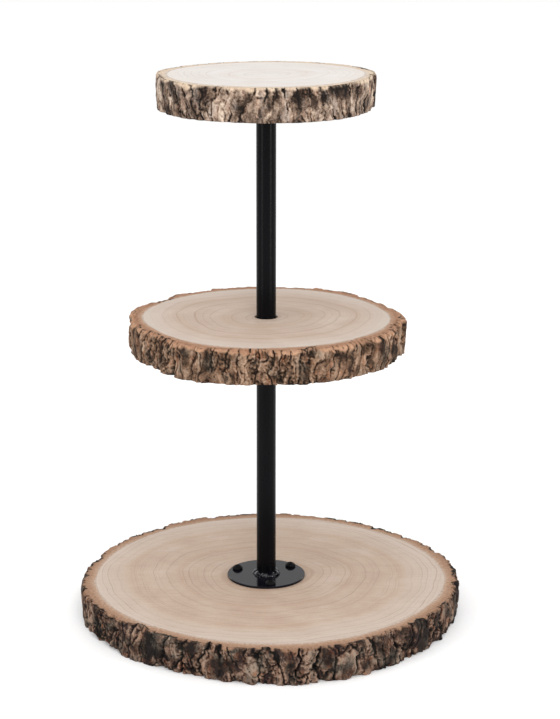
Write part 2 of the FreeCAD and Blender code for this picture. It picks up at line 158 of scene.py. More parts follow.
def bark_relief(u, v, around, height, look):
    """How far the bark's face lies inside its outline in mm, and its tone from 0 (dark) to 1 (pale): a random
    tone, with painted shade in the hollows and down the fissures.
    """
    seed = look["seed"]

    def wave(width, tall, step):
        return lumps(u, v, around, (width, tall), seed + step)

    across = u + lumps(u, v * 0, around, (60.0, 1.0), seed) * 0.4 * (v - height / 2)
    across = across + 3.0 * wave(13.0, 11.0, 1) + 1.7 * wave(5.0, 5.0, 2) + 0.8 * wave(2.2, 2.2, 3)
    along = v + 4.0 * wave(8.0, 7.0, 4) + 1.0 * wave(2.4, 2.4, 5)
    crack, upright, plate, plate_tilt, crown = cracked(across, along, around, look["plates"], seed + 50)
    split, split_upright, block, block_tilt, _ = cracked(across, along, around, look["blocks"], seed + 60)
    nick, _, flake, flake_tilt, _ = cracked(across, along, around, look["flakes"], seed + 70)
    fade = np.clip(0.7 + 0.8 * wave(20.0, 13.0, 6), 0.1, 1.0)
    relief = look["fissure"] * crack**0.8 * (0.2 + 0.8 * upright**1.5) * fade
    relief += look["crown"] * crown + look["plate"] * (plate + 1.5 * plate_tilt)
    relief += look["block"] * (0.7 * block + 0.6 * split * (0.4 + 0.6 * split_upright) + 1.3 * block_tilt)
    relief += look["flake"] * (0.7 * flake + 0.4 * nick + 1.2 * flake_tilt)
    furrows = 1.0 - np.abs(lumps(across, along, around, (7.0, 30.0), seed + 7))
    relief += look["furrow"] * furrows**5
    relief += look["swelling"] * lumps(u, v * 0, around, (30.0, 1.0), seed + 8)
    wane = lumps(u, v * 0, around, (17.0, 1.0), seed + 16)
    wane = wane + 0.5 * lumps(u, v, around, (14.0, 16.0), seed + 17)
    relief += look["wane"] * smooth_step((wane - 0.35) / 0.5)
    relief += look["grit"] * (wave(2.0, 2.4, 9) + 0.6 * wave(1.3, 1.4, 10))
    relief -= np.percentile(relief, FLUSH_SHARE)
    relief = SOFT_CREST * np.logaddexp(0.0, relief / SOFT_CREST)

    # the tone: random over the plates, blocks and flakes, and painted shade, darker where the face lies lower
    # than its surroundings, narrowly or widely, and down the fissures
    near, wide = round(1.6 / BARK_GRID), round(5.0 / BARK_GRID)
    painted_hollow_shade = (relief - spread(relief, near)) / 0.8 + (relief - spread(relief, wide)) / 2.2
    shade = 0.5 + 0.3 * (plate - 0.5) + 0.38 * (block - 0.5) + 0.26 * (flake - 0.5)
    shade += 0.22 * wave(10.0, 12.0, 12) + 0.16 * wave(4.0, 6.0, 13) - 0.32 * painted_hollow_shade - 0.35 * crack * fade

    relief *= 0.85 + 0.15 * smooth_step((height - v) / 4.0)
    notch = lumps(u, v * 0, around, (24.0, 1.0), seed + 18)
    notch = notch + 0.3 * lumps(u, v, around, (7.0, 9.0), seed + 19)
    relief += look["notch"] * smooth_step((notch - 0.34) / 0.2) * (0.4 + 0.6 * v / height)
    for edge, share, step in ((v, 1.0, 14), (height - v, look["rim_chips"], 15)):
        chip = 0.7 * lumps(u, v * 0, around, (look["chip_width"], 1.0), seed + step)
        chip = smooth_step(0.4 + chip + 0.5 * lumps(u, v * 0, around, (4.5, 1.0), seed + step + 20))
        relief += share * look["chips"] * chip * smooth_step(1.0 - edge / (2.0 + 4.0 * chip))
    relief += look["eased"] * np.clip(1.0 - (height - v) / 2.2, 0.0, 1.0) ** 1.5
    relief += look["taper"] * smooth_step(1.0 - v / height)
    return relief, np.clip(shade, 0.0, 1.0)


def ring_mesh(name, x, y, z):
    """A closed ring from a grid of points, in mm, whose rows and columns both join up at their ends."""
    rows, columns = x.shape
    mesh = bpy.data.meshes.new(name)
    mesh.vertices.add(rows * columns)
    mesh.vertices.foreach_set("co", (np.stack([x, y, z], axis=-1) * MM).astype(np.float32).ravel())
    index = np.arange(rows * columns).reshape(rows, columns)
    below = np.roll(index, -1, axis=0)
    quads = np.stack([index, below, np.roll(below, -1, axis=1), np.roll(index, -1, axis=1)], axis=-1)
    mesh.loops.add(quads.size)
    mesh.loops.foreach_set("vertex_index", quads.astype(np.int32).ravel())
    mesh.polygons.add(rows * columns)
    mesh.polygons.foreach_set("loop_start", np.arange(0, quads.size, 4, dtype=np.int32))
    mesh.update(calc_edges=True)
    mesh.shade_smooth()
    return mesh


def paint(mesh, name, values):
    """Keep one number for each point of the mesh, for its material to read."""
    mesh.attributes.new(name, "FLOAT", "POINT").data.foreach_set("value", values.astype(np.float32).ravel())


def make_bark(tier, look):
    """One slice's bark: a closed ring round its wood, with numbers at each point for its material."""
    node = f"{tier}_slice_bark"
    low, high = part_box(node)
    underside, top = low.z / MM, high.z / MM
    height = top - underside
    mean_radius = outline_of(node, np.linspace(-math.pi, math.pi, 360)).mean()
    columns = round(2 * math.pi * mean_radius / BARK_GRID)
    angles = np.arange(columns) / columns * 2 * math.pi - math.pi
    outer = outline_of(node, angles)
    inner = outline_of(f"{tier}_slice_wood", angles) - INNER_LAP
    around = 2 * math.pi * mean_radius
    u = (angles + math.pi) / (2 * math.pi) * around

    # the upright face, from the top edge down
    wall_v = np.linspace(height, 0.0, round(height / BARK_GRID))
    u_wall, v_wall = np.meshgrid(u, wall_v)
    relief, shade = bark_relief(u_wall, v_wall, around, height, look)
    wall_radius = outer - np.minimum(relief, outer - inner - LEAST_BARK)

    # the sawn faces, from the wood out to the upright face
    steps = np.linspace(0.0, 1.0, SAWN_ROWS)[:-1, None]
    top_radius = inner + (wall_radius[0] - inner) * steps
    under_radius = (inner + (wall_radius[-1] - inner) * steps)[::-1]
    u_face = np.tile(u, (len(steps), 1))
    fibres = 0.1 * (1.0 + lumps(u_face, top_radius, around, (2.0, 1.6), look["seed"] + 30))
    z_top = top - fibres * smooth_step((top_radius - inner) / 1.5)
    z_under = underside + fibres[::-1] * smooth_step((under_radius - inner) / 1.5)
    radius = np.vstack([top_radius, wall_radius, under_radius])
    z = np.vstack([z_top, np.tile(underside + wall_v[:, None], (1, columns)), z_under])
    mesh = ring_mesh(node, radius * np.cos(angles), radius * np.sin(angles), z)

    # a rim of dark cork, ragged and of uneven width, lies round the inner bark on each sawn face
    cork = look["cork"]
    for size, swing in (((24.0, 1.0), 0.8), ((12.0, 1.0), 1.2), ((4.5, 1.0), 1.0), ((2.0, 1.0), 0.6)):
        cork = cork + swing * lumps(u, u * 0, around, size, look["seed"] + 31)
    rows = []
    for face_radius, edge_radius in ((top_radius, wall_radius[0]), (under_radius, wall_radius[-1])):
        rows.append(smooth_step(0.5 + (edge_radius - face_radius - cork) / 0.9))
    tan_past_edge = np.minimum(look["wrap"] - cork, MOST_WRAP)
    rows.insert(1, smooth_step(0.5 + (tan_past_edge - (height - v_wall)) / 2.2) * smooth_step(shade * 2.5))
    paint(mesh, "inner_bark", np.vstack(rows))
    # the tone that the material reads: the face's own, with its painted shade in hollows and fissures, and a
    # random tone on the sawn rims
    rim_shade = 0.25 + 0.3 * lumps(u_face, top_radius, around, (3.0, 2.5), look["seed"] + 32)
    paint(mesh, "shade", np.vstack([rim_shade, shade, rim_shade]))
    wander = 0.9 + 0.9 * lumps(u, u * 0, around, (17.0, 1.0), look["seed"] + 33)
    paint(mesh, "from_wood", np.clip((radius - inner - wander) / 14.0, 0.0, 1.0))
    bark = bpy.data.objects.new(f"{tier}_bark", mesh)
    bpy.context.scene.collection.objects.link(bark)
    return bark


def linear(hex_colour, alpha=1.0):
    """An sRGB hex colour as the linear colour that a shader takes."""
    parts = [int(hex_colour[i:i + 2], 16) / 255 for i in (1, 3, 5)]
    return [p / 12.92 if p <= 0.04045 else ((p + 0.055) / 1.055) ** 2.4 for p in parts] + [alpha]


def new_material(name):
    """An empty node material, with its Principled shader wired to the output."""
    material = bpy.data.materials.new(name)
    material.use_nodes = True
    material.node_tree.nodes.clear()
    shader = add(material, "BsdfPrincipled")
    output = add(material, "OutputMaterial")
    material.node_tree.links.new(shader.outputs["BSDF"], output.inputs["Surface"])
    return material, shader


def add(material, kind, inputs=None, **settings):
    """Add one shader node, set its properties, and fill its inputs with values or links."""
    node = material.node_tree.nodes.new("ShaderNode" + kind)
    for key, setting in settings.items():
        setattr(node, key, setting)
    for key, source in (inputs or {}).items():
        if isinstance(source, bpy.types.NodeSocket):
            material.node_tree.links.new(source, node.inputs[key])
        else:
            node.inputs[key].default_value = source
    return node


def ramp(material, factor, *stops):
    """A colour ramp through (position, hex colour) stops."""
    node = add(material, "ValToRGB", {0: factor})
    elements = node.color_ramp.elements
    while len(elements) < len(stops):
        elements.new(0.5)
    for element, (position, colour) in zip(elements, stops):
        element.position = position
        element.color = linear(colour)
    return node.outputs["Color"]


def mix(material, factor, first, second, blend="MIX"):
    """Mix two colours, each a hex colour or a link."""
    node = add(material, "Mix", {0: factor}, data_type="RGBA", blend_type=blend, clamp_factor=True)
    for socket, colour in ((6, first), (7, second)):
        if isinstance(colour, str):
            node.inputs[socket].default_value = linear(colour)
        else:
            material.node_tree.links.new(colour, node.inputs[socket])
    return node.outputs[2]


def grains(material, size_mm, detail=3.0, roughness=0.6, stretch=(1, 1, 1)):
    """Noise with lumps of about `size_mm`, in the object's own coordinates, as a number from 0 to 1."""
    place = add(material, "TexCoord")
    scaled = add(material, "VectorMath", {0: place.outputs["Object"], 1: stretch}, operation="MULTIPLY")
    noise = add(
        material, "TexNoise",
        {"Vector": scaled.outputs[0], "Scale": 1 / (size_mm * MM), "Detail": detail, "Roughness": roughness},
    )
    return noise.outputs["Fac"]


def bark_material(tier, look):
    """Dry cork bark: no gloss at all, near black down the fissures and in the hollows, where the tone read
    from the mesh carries painted shade, weathered grey on the crests, and rust brown where a flake has come
    away.
    On the sawn faces, smooth tan inner bark with a rim of dark cork."""
    material, shader = new_material(f"{tier}_cork_bark")
    read = {
        name: add(material, "Attribute", attribute_name=name).outputs["Fac"]
        for name in ("inner_bark", "shade", "from_wood")
    }
    speckle = grains(material, 1.3, detail=4.0, roughness=0.7)
    shade = add(material, "Math", {0: speckle, 1: -0.5}, operation="ADD").outputs[0]
    shade = add(material, "Math", {0: shade, 1: 0.75, 2: read["shade"]}, operation="MULTIPLY_ADD").outputs[0]
    # the skin's dark stops take the painted shade of the hollows and fissures
    skin = ramp(material, shade, *look["skin"])
    patches = grains(material, 8.0, detail=5.0, roughness=0.7, stretch=(1, 1, 0.7))
    rust_tint, char = "#f2bd98", "#1d1618"
    rust = add(material, "MapRange", {0: patches, 1: 0.53, 2: 0.62, 3: 0.0, 4: look["rust"]}).outputs[0]
    skin = mix(material, rust, skin, mix(material, 1.0, skin, rust_tint, blend="MULTIPLY"))
    weather = grains(material, 11.0, detail=5.0, roughness=0.7, stretch=(1, 1, 0.6))
    grey = add(material, "MapRange", {0: weather, 1: 0.5, 2: 0.62, 3: 0.0, 4: look["grey"]}).outputs[0]
    grey = add(material, "Math", {0: grey, 1: shade}, operation="MULTIPLY").outputs[0]
    skin = mix(material, grey, skin, look["weathered"])
    charred = add(material, "MapRange", {0: weather, 1: 0.46, 2: 0.36, 3: 0.0, 4: look["char"]}).outputs[0]
    skin = mix(material, charred, skin, char)

    streaks = grains(material, 2.2, detail=4.0, roughness=0.65, stretch=(1, 1, 0.3))
    inner = ramp(material, read["from_wood"], *look["inner"])
    mottle = ramp(material, streaks, (0.25, "#b09a8a"), (0.7, "#ffffff"))
    inner = mix(material, 0.8, inner, mix(material, 1.0, inner, mottle, blend="MULTIPLY"))
    colour = mix(material, read["inner_bark"], skin, inner)

    grit = grains(material, 0.9, detail=5.0, roughness=0.8)
    bump = add(material, "Bump", {"Strength": 0.5, "Distance": 0.5 * MM, "Height": grit})
    material.node_tree.links.new(colour, shader.inputs["Base Color"])
    material.node_tree.links.new(bump.outputs["Normal"], shader.inputs["Normal"])
    shader.inputs["Roughness"].default_value = 0.93
    shader.inputs["IOR"].default_value = 1.45
    shader.inputs["Specular IOR Level"].default_value = 0.25
    return material


# The bottom's skin is painted darkest, partly as painted shade low under the two tiers above.
BARK_COLOURS = {
    "bottom": dict(
        skin=((0.14, "#0c0806"), (0.38, "#231913"), (0.58, "#423026"), (0.78, "#685042"), (1.0, "#907867")),
        inner=((0.0, "#c3b5a9"), (0.07, "#bda38e"), (0.35, "#ac8c74"), (1.0, "#91705a")),
        weathered="#847b6e", rust=0.7, grey=0.55, char=0.85,
    ),
    "middle": dict(
        skin=((0.1, "#19110a"), (0.32, "#3f2d20"), (0.54, "#69503e"), (0.76, "#8a6e59"), (0.99, "#ab907a")),
        inner=((0.0, "#c5b8ac"), (0.06, "#bd9d85"), (0.35, "#a98268"), (0.85, "#bd977b")),
        weathered="#8f8678", rust=0.55, grey=0.45, char=0.4,
    ),
    "top": dict(
        skin=((0.13, "#16100c"), (0.33, "#423329"), (0.52, "#776354"), (0.72, "#a18c7b"), (0.96, "#d0bdaa")),
        inner=((0.0, "#d8d0c8"), (0.08, "#e2d5c5"), (0.45, "#e3d1ba"), (1.0, "#c9ae92")),
        weathered="#ab9f96", rust=0.35, grey=0.6, char=0.45,
    ),
}
for tier, look in TIERS.items():
    bark = make_bark(tier, look)
    bark.data.materials.append(bark_material(tier, BARK_COLOURS[tier]))
    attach(bark, BODY_OF_TIER[tier])
    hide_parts(f"{tier}_slice_bark")

# ----------------------------------------------------------------------------------------------------------
# Wood. A disc of pale, fast-grown timber, sawn across the grain and sanded, with no oil or varnish. The
# growth rings are wide and faint, and run round the pith, which the post stands on. The slices are
# fastened only by the flanges' screws.
# ----------------------------------------------------------------------------------------------------------
RING_WIDTH = {"bottom": 10.5, "middle": 8.5, "top": 9.0}  # mm of growth between the strong rings


def wood_radius(tier):
    """The wood's mean radius, in mm."""
    return float(outline_of(f"{tier}_slice_wood", np.linspace(-math.pi, math.pi, 360)).mean())


def noise_of(material, vector, scale, detail=2.0):
    """Noise read at any vector: outputs Fac, from 0 to 1, and Color."""
    return add(material, "TexNoise", {"Vector": vector, "Scale": scale, "Detail": detail}).outputs


def end_grain(tier, palette):
    """Bare sanded end grain: matt, with thin brown late-wood lines, pinkish and cream clouds between
    them, paler sapwood towards the bark, and the faint marks of the sander. Real pores and sanding marks
    are 0.1 to 0.3 mm wide: they are drawn at about 1 mm, which is as coarse as they need to be to show."""
    material, shader = new_material(f"{tier}_sanded_end_grain")
    place = add(material, "TexCoord").outputs["Object"]
    flat = add(material, "VectorMath", {0: place, 1: (1 / MM, 1 / MM, 0.0)}, operation="MULTIPLY").outputs[0]
    # the rings wander, slowly over about 110 mm and a little over about 33 mm
    swayed = flat
    for scale, swing in ((0.009, 22.0), (0.03, 7.0)):
        sway = noise_of(material, flat, scale, detail=1.0)["Color"]
        sway = add(material, "VectorMath", {0: sway, 1: (0.5, 0.5, 0.5)}, operation="SUBTRACT").outputs[0]
        sway = add(material, "VectorMath", {0: sway, 1: (swing, swing, 0.0)}, operation="MULTIPLY").outputs[0]
        swayed = add(material, "VectorMath", {0: swayed, 1: sway}, operation="ADD").outputs[0]
    radius = add(material, "VectorMath", {0: swayed}, operation="LENGTH").outputs["Value"]

    # good and bad years: the rings are unevenly wide, and some are dark and some hardly show
    years = add(material, "CombineXYZ", {0: radius}).outputs[0]
    years = noise_of(material, years, 0.05, detail=1.0)["Fac"]
    age = add(material, "Math", {0: radius, 1: 1 / RING_WIDTH[tier]}, operation="MULTIPLY").outputs[0]
    age = add(material, "Math", {0: years, 1: 4.0, 2: age}, operation="MULTIPLY_ADD").outputs[0]
    fade = grains(material, 26.0, detail=2.0, stretch=(1, 1, 0))
    fade = add(material, "MapRange", {0: fade, 1: 0.3, 2: 0.65, 3: 0.5, 4: 1.0}).outputs[0]
    dark = None
    for rings, share in ((1.0, 1.0), (3.0, 0.6), (8.0, 0.3)):
        strength = share * palette["rings"]
        count = add(material, "Math", {0: age, 1: rings}, operation="MULTIPLY").outputs[0]
        season = add(material, "Math", {0: count}, operation="FRACT").outputs[0]
        year = add(material, "Math", {0: count}, operation="FLOOR").outputs[0]
        year = add(material, "TexWhiteNoise", {"W": year}, noise_dimensions="1D").outputs["Value"]
        year = add(material, "MapRange", {0: year, 3: 0.3 * strength, 4: strength}).outputs[0]
        line = ramp(
            material, season,
            (0.0, "#c0c0c0"), (0.06, "#000000"), (0.5, "#000000"), (0.86, "#5a5a5a"), (0.97, "#ffffff"),
        )
        line = add(material, "Math", {0: line, 1: year}, operation="MULTIPLY").outputs[0]
        if dark is not None:
            line = add(material, "Math", {0: dark, 1: line}, operation="MAXIMUM").outputs[0]
        dark = line
    dark = add(material, "Math", {0: dark, 1: fade}, operation="MULTIPLY").outputs[0]

    clouds = grains(material, 38.0, detail=3.0, roughness=0.55, stretch=(1, 1, 0))
    base = ramp(
        material, clouds,
        (0.3, palette["dark_cloud"]), (0.5, palette["wood"]), (0.7, palette["pale_cloud"]),
    )
    edge = wood_radius(tier)
    sap = add(material, "MapRange", {0: radius, 1: edge * 0.74, 2: edge * 0.98, 3: 0.0, 4: 0.75}).outputs[0]
    base = mix(material, sap, base, palette["sapwood"])
    slow = add(material, "MapRange", {0: years, 1: 0.52, 2: 0.64, 3: 0.0, 4: palette["bands"]}).outputs[0]
    base = mix(material, slow, base, palette["band"])
    wood = mix(material, dark, base, palette["late_wood"])
    pores = grains(material, 0.9, detail=3.0, stretch=(1, 1, 0.1))
    pores = ramp(material, pores, (0.3, "#e6ded6"), (0.5, "#ffffff"))
    wood = mix(material, 0.6, wood, mix(material, 1.0, wood, pores, blend="MULTIPLY"))
    scratches = grains(material, 1.2, detail=3.0, roughness=0.7, stretch=(0.06, 1, 1))
    scratches = ramp(material, scratches, (0.35, "#efe9e3"), (0.55, "#ffffff"))
    wood = mix(material, 0.5, wood, mix(material, 1.0, wood, scratches, blend="MULTIPLY"))

    sanding = grains(material, 0.5, detail=3.0)
    height = add(material, "Math", {0: dark, 1: 0.8, 2: sanding}, operation="MULTIPLY_ADD").outputs[0]
    bump = add(material, "Bump", {"Strength": 0.2, "Distance": 0.12 * MM, "Height": height})
    material.node_tree.links.new(wood, shader.inputs["Base Color"])
    material.node_tree.links.new(bump.outputs["Normal"], shader.inputs["Normal"])
    shader.inputs["Roughness"].default_value = 0.62
    shader.inputs["IOR"].default_value = 1.5
    return material


# The top slice's palette is painted much paler than the other two, partly as painted light and sheen on the
# slice that nothing stands over.
SAND = dict(
    wood="#b7a290", dark_cloud="#b29b8a", pale_cloud="#bfac9d", sapwood="#c2b5aa", late_wood="#80614a",
    rings=0.62, band="#ab8e74", bands=0.28,
)
BISCUIT = dict(
    wood="#bca898", dark_cloud="#b7a292", pale_cloud="#c4b3a5", sapwood="#c6bab0", late_wood="#86684f",
    rings=0.6, band="#b1967d", bands=0.28,
)
IVORY_AND_PAINTED_LIGHT = dict(
    wood="#dcd7d3", dark_cloud="#d6cfc9", pale_cloud="#e1dcd9", sapwood="#dfdad5", late_wood="#a8917f",
    rings=0.5, band="#d0c0b2", bands=0.16,
)
for tier, palette in (("bottom", SAND), ("middle", BISCUIT), ("top", IVORY_AND_PAINTED_LIGHT)):
    disc = nodes[f"{tier}_slice_wood"]
    disc.data.materials.clear()
    disc.data.materials.append(end_grain(tier, palette))

# ----------------------------------------------------------------------------------------------------------
# Flanges. Round plates stamped from 2 mm steel sheet, welded to the post and enamelled gloss black with it.
# The base flange lies on the bottom slice; the other two carry the middle and top slices from below.
# ----------------------------------------------------------------------------------------------------------


def black_enamel(name, lumpiness_mm, lump_height_mm, roughness, gloss):
    """Stoved gloss enamel on steel: near black, with sharp reflections that faint orange peel ripples."""
    material, shader = new_material(name)
    peel = grains(material, lumpiness_mm, detail=2.0)
    bump = add(material, "Bump", {"Strength": 0.3, "Distance": lump_height_mm * MM, "Height": peel})
    dust = grains(material, 14.0, detail=5.0)
    shade = ramp(material, dust, (0.3, "#09090f"), (0.7, "#0f0f17"))
    smear = add(material, "MapRange", {0: dust, 1: 0.3, 2: 0.7, 3: roughness, 4: roughness + 0.06}).outputs[0]
    material.node_tree.links.new(shade, shader.inputs["Base Color"])
    material.node_tree.links.new(smear, shader.inputs["Roughness"])
    material.node_tree.links.new(bump.outputs["Normal"], shader.inputs["Normal"])
    shader.inputs["IOR"].default_value = 1.5
    shader.inputs["Specular IOR Level"].default_value = gloss
    return material


enamel = black_enamel("gloss_black_enamel", lumpiness_mm=3.0, lump_height_mm=0.02, roughness=0.1, gloss=0.2)
for name in ("base_flange", "middle_flange", "top_flange"):
    plate = nodes[name]
    plate.data.materials.clear()
    plate.data.materials.append(enamel)

# ----------------------------------------------------------------------------------------------------------
# Weld beads. A hand-run fillet joins each flange to its tube: a row of overlapping ripples, uneven in
# size, enamelled over with the plate so that each ripple carries its own glint.
# ----------------------------------------------------------------------------------------------------------
WELD_RIPPLES = 9
WELD_COLUMNS = 240
WELD_LEAST, WELD_MOST, WELD_RIPPLE = 2.1, 3.9, 1.5  # mm: the fillet's leg, and how far a ripple swells it
WELD_LAP = 0.1  # mm that the bead reaches into the tube
tube_radius = (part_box("lower_post_tube")[1].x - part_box("lower_post_tube")[0].x) / 2 / MM
enamelled_weld = black_enamel(
    "enamelled_weld", lumpiness_mm=3.0, lump_height_mm=0.03, roughness=0.12, gloss=0.31
)


def make_weld(name, corner_z, up, seed):
    """A bead round the tube. `corner_z` is the flange's face in mm, and `up` is 1 or -1 along Z."""
    angles = np.arange(WELD_COLUMNS) / WELD_COLUMNS * 2 * math.pi
    around = 2 * math.pi * tube_radius
    turn, lift = np.meshgrid(angles, np.linspace(0.0, math.pi / 2, 15))
    u = turn / (2 * math.pi) * around
    phase = turn / (2 * math.pi) * WELD_RIPPLES + 0.3 * np.sin(2 * lift)
    phase = phase + 0.4 * lumps(u, lift, around, (9, 1), seed)
    leg = WELD_LEAST + WELD_RIPPLE * np.abs(np.sin(math.pi * phase)) ** 0.8
    leg += 0.6 * lumps(u, lift * 3.0, around, (4.5, 2.5), seed + 1)
    leg = np.minimum(leg, WELD_MOST) * (1 - 0.08 * np.sin(2 * lift))
    radius = tube_radius - WELD_LAP + (leg + WELD_LAP) * np.cos(lift)
    height = leg * np.sin(lift)
    corner = np.full((1, WELD_COLUMNS), tube_radius - WELD_LAP)
    radius = np.vstack([radius, corner])
    height = np.vstack([height, corner * 0])
    turns = np.vstack([turn, turn[:1]])
    mesh = ring_mesh(name, radius * np.cos(turns), radius * np.sin(turns), corner_z + up * height)
    if up > 0:
        mesh.flip_normals()
    bead = bpy.data.objects.new(name, mesh)
    bpy.context.scene.collection.objects.link(bead)
    bead.data.materials.append(enamelled_weld)
    return bead


for name, body, seed in (("base", "base", 3), ("middle", "base", 5), ("top", "upper_post", 7)):
    node = f"{name}_flange_weld"
    low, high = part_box(node)
    corner_z, up = (low.z / MM, 1) if name == "base" else (high.z / MM, -1)
    bead = make_weld(f"{name}_weld_bead", corner_z, up, seed)
    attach(bead, body)
    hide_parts(node)

# ----------------------------------------------------------------------------------------------------------
# Wood screws. Three 4.2 x 19 mm pan heads hold each flange to its slice: cold-headed, thread-rolled,
# hardened and finished black, with a cross recess. Each was driven to a different angle.
# ----------------------------------------------------------------------------------------------------------
SCREW_COLUMNS = 96
SCREW = dict(
    head_radius=4.3, rim=1.2, height=3.7, core=1.5, crest=2.1, length=19.0, point=4.0, pitch=1.8,
    arm=0.55, reach=2.2, recess=1.7,
)


def lathe_mesh(name, x, y, z):
    """A closed skin from rows of points round an axis. Its first and last rows close on their middles."""
    rows, columns = x.shape
    mesh = bpy.data.meshes.new(name)
    points = np.stack([x, y, z], axis=-1).reshape(-1, 3)
    ends = np.array([[x[0].mean(), y[0].mean(), z[0].mean()], [x[-1].mean(), y[-1].mean(), z[-1].mean()]])
    index = np.arange(rows * columns).reshape(rows, columns)
    beside = np.roll(index, -1, axis=1)
    faces = np.stack([index[:-1], index[1:], beside[1:], beside[:-1]], axis=-1).reshape(-1, 4).tolist()
    faces += [[rows * columns, a, b] for a, b in zip(index[0], beside[0])]
    faces += [[rows * columns + 1, b, a] for a, b in zip(index[-1], beside[-1])]
    mesh.from_pydata((np.vstack([points, ends]) * MM).tolist(), [], faces)
    mesh.shade_smooth()
    return mesh


def thread_ridge(z, turn, pitch):
    """The height of a right-hand thread's ridge, from 0 at its root to 1 at its crest."""
    phase = (z / pitch - turn / (2 * math.pi)) % 1.0
    return np.clip(1.0 - np.abs(phase - 0.5) / 0.32, 0.0, 1.0)


def screw_rows():
    """One screw's radius, turn and height, as rows from the middle of its crown down to its point."""
    s = SCREW
    turns = np.arange(SCREW_COLUMNS) / SCREW_COLUMNS * 2 * math.pi
    crown_radius = (s["head_radius"] ** 2 + (s["height"] - s["rim"]) ** 2) / (2 * (s["height"] - s["rim"]))
    crown, turn = np.meshgrid(np.linspace(0.12, s["head_radius"], 26), turns, indexing="ij")
    crown_z = s["height"] - crown_radius + np.sqrt(crown_radius**2 - crown**2)
    along = np.maximum(np.abs(crown * np.cos(turn)), np.abs(crown * np.sin(turn)))
    beside = np.minimum(np.abs(crown * np.cos(turn)), np.abs(crown * np.sin(turn)))
    in_cross = smooth_step((s["arm"] - beside) / 0.18 + 0.5) * smooth_step((s["reach"] - along) / 0.5)
    crown_z = crown_z - s["recess"] * in_cross
    seat = np.array([[s["head_radius"], 0.12], [s["head_radius"] - 0.12, 0.0], [s["core"] + 0.25, 0.0]])
    shank_z = np.arange(-0.25, -s["length"], -s["pitch"] / 8)
    core = s["core"] * np.clip((s["length"] + shank_z) / s["point"], 0.04, 1.0)
    shank_z = shank_z[:, None] + turns * 0
    ridge = thread_ridge(shank_z, turns, s["pitch"]) * smooth_step((-shank_z - 0.6) / 1.5)
    shank = core[:, None] * (1 + (s["crest"] / s["core"] - 1) * ridge)
    radius = np.vstack([crown, seat[:, :1] + turns * 0, shank])
    height = np.vstack([crown_z, seat[:, 1:] + turns * 0, shank_z])
    return radius, turns, height


def join_meshes(name, parts):
    """One mesh that holds several."""
    shell = bmesh.new()
    for part in parts:
        shell.from_mesh(part)
    mesh = bpy.data.meshes.new(name)
    shell.to_mesh(mesh)
    shell.free()
    for part in parts:
        bpy.data.meshes.remove(part)
    mesh.shade_smooth()
    return mesh


def make_screws(name, seat_z, up, places, seed):
    """The three screws of one flange, in one mesh of three closed skins."""
    radius, turns, height = screw_rows()
    spins = np.random.default_rng(seed).uniform(0, math.pi / 2, len(places))
    parts = []
    for (centre_x, centre_y), spin in zip(places, spins):
        x = centre_x + radius * np.cos(turns + spin)
        y = centre_y + up * radius * np.sin(turns + spin)
        parts.append(lathe_mesh(name, x, y, seat_z + up * height))
    joined = bpy.data.objects.new(name, join_meshes(name, parts))
    bpy.context.scene.collection.objects.link(joined)
    return joined


def screw_places(node):
    """The middles of a flange's screws, in mm, from the three loose parts of their CAD node."""
    points = np.array([v.co for v in nodes[node].data.vertices])[:, :2] / MM
    direction = np.degrees(np.arctan2(points[:, 1], points[:, 0]))
    first = np.median(direction % 120)
    found = []
    for number in range(3):
        near = np.abs((direction - first - 120 * number + 180) % 360 - 180) < 60
        group = points[near]
        found.append((group.min(0) + group.max(0)) / 2)
    return found


def black_screw():
    """Black phosphate on hardened steel: a dull dark skin over metal, rubbed brighter in small random
    patches.
    """
    material, shader = new_material("black_phosphated_steel")
    wear = grains(material, 1.5, detail=4.0)
    skin = ramp(material, wear, (0.35, "#060607"), (0.7, "#111113"))
    material.node_tree.links.new(skin, shader.inputs["Base Color"])
    rough = add(material, "MapRange", {0: wear, 1: 0.3, 2: 0.7, 3: 0.45, 4: 0.6}).outputs[0]
    material.node_tree.links.new(rough, shader.inputs["Roughness"])
    shader.inputs["IOR"].default_value = 1.5
    shader.inputs["Specular IOR Level"].default_value = 0.08
    return material


phosphate = black_screw()
for name, body, seed in (("base", "base", 31), ("middle", "base", 32), ("top", "upper_post", 33)):
    node = f"{name}_flange_screws"
    plate_low, plate_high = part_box(f"{name}_flange")
    seat_z, up = (plate_high.z / MM, 1) if name == "base" else (plate_low.z / MM, -1)
    screws = make_screws(f"{name}_screws", seat_z, up, screw_places(node), seed)
    screws.data.materials.append(phosphate)
    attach(screws, body)
    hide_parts(node)

# ----------------------------------------------------------------------------------------------------------
# Post tubes. Two equal lengths of 16 mm round steel tube, painted satin black. The lower one stands on the
# base flange and holds the middle flange; the upper one screws down onto it and carries the top flange.
# ----------------------------------------------------------------------------------------------------------


def satin_black():
    """Satin black spray paint on drawn tube: soft upright highlights, with a fine mist of paint grain. The
    real grain is about 0.1 mm, and is drawn at 0.6 mm so that it shows."""
    material, shader = new_material("satin_black_paint")
    mist = grains(material, 0.6, detail=3.0)
    scuffs = grains(material, 22.0, detail=6.0, stretch=(1, 1, 0.35))
    skin = ramp(material, scuffs, (0.3, "#040406"), (0.7, "#08080b"))
    material.node_tree.links.new(skin, shader.inputs["Base Color"])
    rough = add(material, "MapRange", {0: scuffs, 1: 0.3, 2: 0.7, 3: 0.24, 4: 0.3}).outputs[0]
    bump = add(material, "Bump", {"Strength": 0.12, "Distance": 0.03 * MM, "Height": mist})
    material.node_tree.links.new(rough, shader.inputs["Roughness"])
    material.node_tree.links.new(bump.outputs["Normal"], shader.inputs["Normal"])
    shader.inputs["IOR"].default_value = 1.5
    shader.inputs["Specular IOR Level"].default_value = 0.075
    return material


paint_black = satin_black()
for name in ("lower_post_tube", "upper_post_tube"):
    tube = nodes[name]
    tube.data.materials.clear()
    tube.data.materials.append(paint_black)

